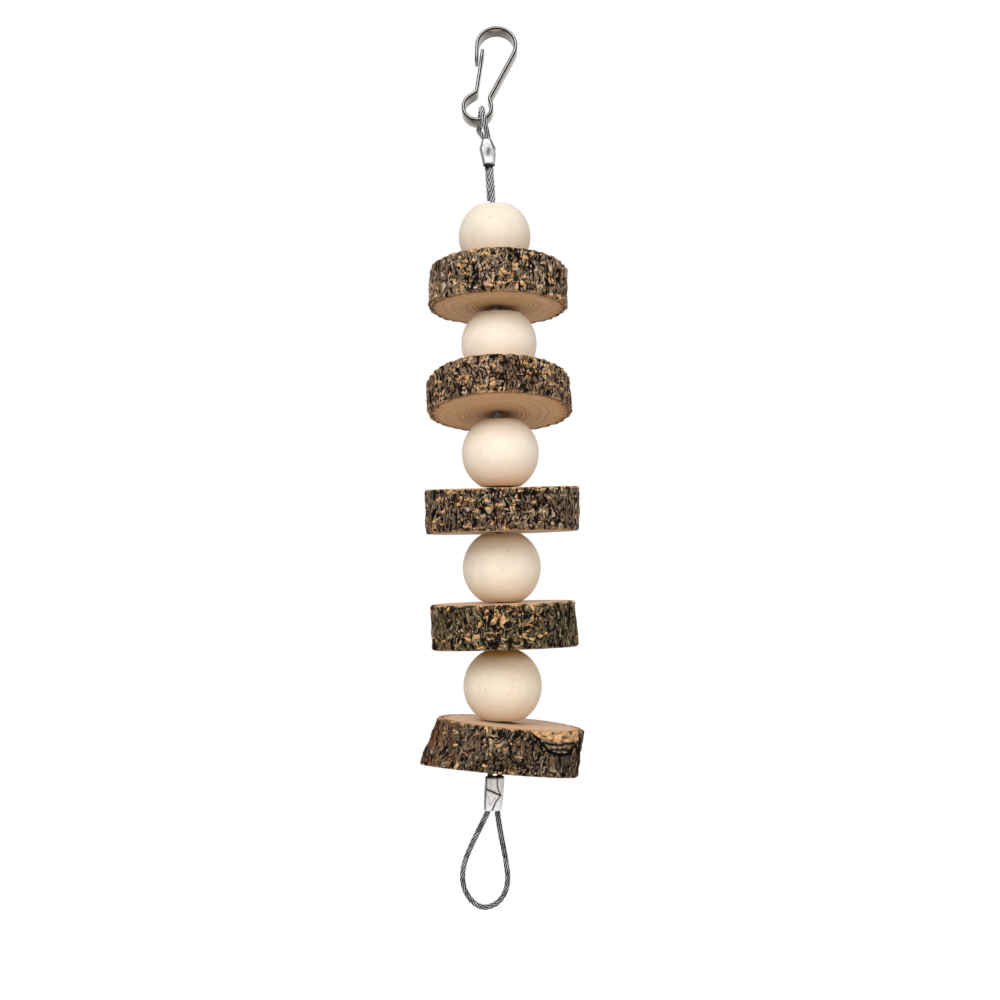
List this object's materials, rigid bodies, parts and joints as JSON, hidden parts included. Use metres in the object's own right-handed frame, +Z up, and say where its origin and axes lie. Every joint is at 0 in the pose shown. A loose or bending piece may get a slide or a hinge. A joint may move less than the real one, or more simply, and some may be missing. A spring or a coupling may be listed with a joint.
{
  "type": "hanging bird chew toy",
  "caption": "Hanging chew toy for birds: turned wooden beads and bark-edged branch slices on a wire rope, with a strip snap hook above and a rope loop below.",
  "frame": {"origin": "inside of the hook's upper bow, where it hangs from a bar", "axes": "+Z up along the rope, +X to the right seen from the front, +Y away from the viewer"},
  "size_m": [0.0525, 0.0513, 0.2833],
  "materials": {
    "hook_steel": "bright nickel plate",
    "rope_steel": "stranded wire",
    "sleeve_metal": "crimped, satin",
    "pale_wood": "sanded, unfinished",
    "bark_wood": "rough bark with sawn faces"
  },
  "bodies": {
    "hook": {"snap_hook": "hook_steel"},
    "sling": {"wire_rope": "rope_steel", "upper_ferrule": "sleeve_metal", "lower_ferrule": "sleeve_metal"},
    "slice_5": {"slice_5": "bark_wood"},
    "ball_1": {"ball_1": "pale_wood"},
    "ball_2": {"ball_2": "pale_wood"},
    "ball_3": {"ball_3": "pale_wood"},
    "ball_4": {"ball_4": "pale_wood"},
    "ball_5": {"ball_5": "pale_wood"},
    "slice_1": {"slice_1": "bark_wood"},
    "slice_2": {"slice_2": "bark_wood"},
    "slice_3": {"slice_3": "bark_wood"},
    "slice_4": {"slice_4": "bark_wood"}
  },
  "joints": [
    {"name": "sling_swing", "type": "hinge", "parent": "hook", "child": "sling", "pos_m": [-0.00637, -0.00485, -0.02668], "axis": [0, 0.9744, -0.225], "range_deg": [-40, 40]},
    {"name": "stack_lift", "type": "slide", "parent": "sling", "child": "slice_5", "axis": [0, 0, 1], "range_m": [0, 0.009]},
    {"name": "ball_1_spin", "type": "hinge", "parent": "slice_5", "child": "ball_1", "pos_m": [-0.00164, -0.00572, -0.06761], "axis": [0, 0, 1], "continuous": true},
    {"name": "ball_2_spin", "type": "hinge", "parent": "slice_5", "child": "ball_2", "pos_m": [-0.00084, -0.00622, -0.10175], "axis": [0, 0, 1], "continuous": true},
    {"name": "ball_3_spin", "type": "hinge", "parent": "slice_5", "child": "ball_3", "pos_m": [-0.00104, -0.00682, -0.13664], "axis": [0, 0, 1], "continuous": true},
    {"name": "ball_4_spin", "type": "hinge", "parent": "slice_5", "child": "ball_4", "pos_m": [-0.00124, -0.00622, -0.17297], "axis": [0, 0, 1], "continuous": true},
    {"name": "ball_5_spin", "type": "hinge", "parent": "slice_5", "child": "ball_5", "pos_m": [-0.00164, -0.00652, -0.21058], "axis": [0, 0, 1], "continuous": true},
    {"name": "slice_1_spin", "type": "hinge", "parent": "slice_5", "child": "slice_1", "pos_m": [-0.00154, -0.00622, -0.08423], "axis": [0.0086, 0.134, 0.9909], "continuous": true},
    {"name": "slice_2_spin", "type": "hinge", "parent": "slice_5", "child": "slice_2", "pos_m": [-0.00144, -0.00632, -0.1187], "axis": [-0.0085, 0.2233, 0.9747], "continuous": true},
    {"name": "slice_3_spin", "type": "hinge", "parent": "slice_5", "child": "slice_3", "pos_m": [-0.00144, -0.00652, -0.15468], "axis": [-0.0087, -0.0175, 0.9998], "continuous": true},
    {"name": "slice_4_spin", "type": "hinge", "parent": "slice_5", "child": "slice_4", "pos_m": [-0.00154, -0.00632, -0.19141], "axis": [-0.014, 0.0122, 0.9998], "continuous": true}
  ]
}
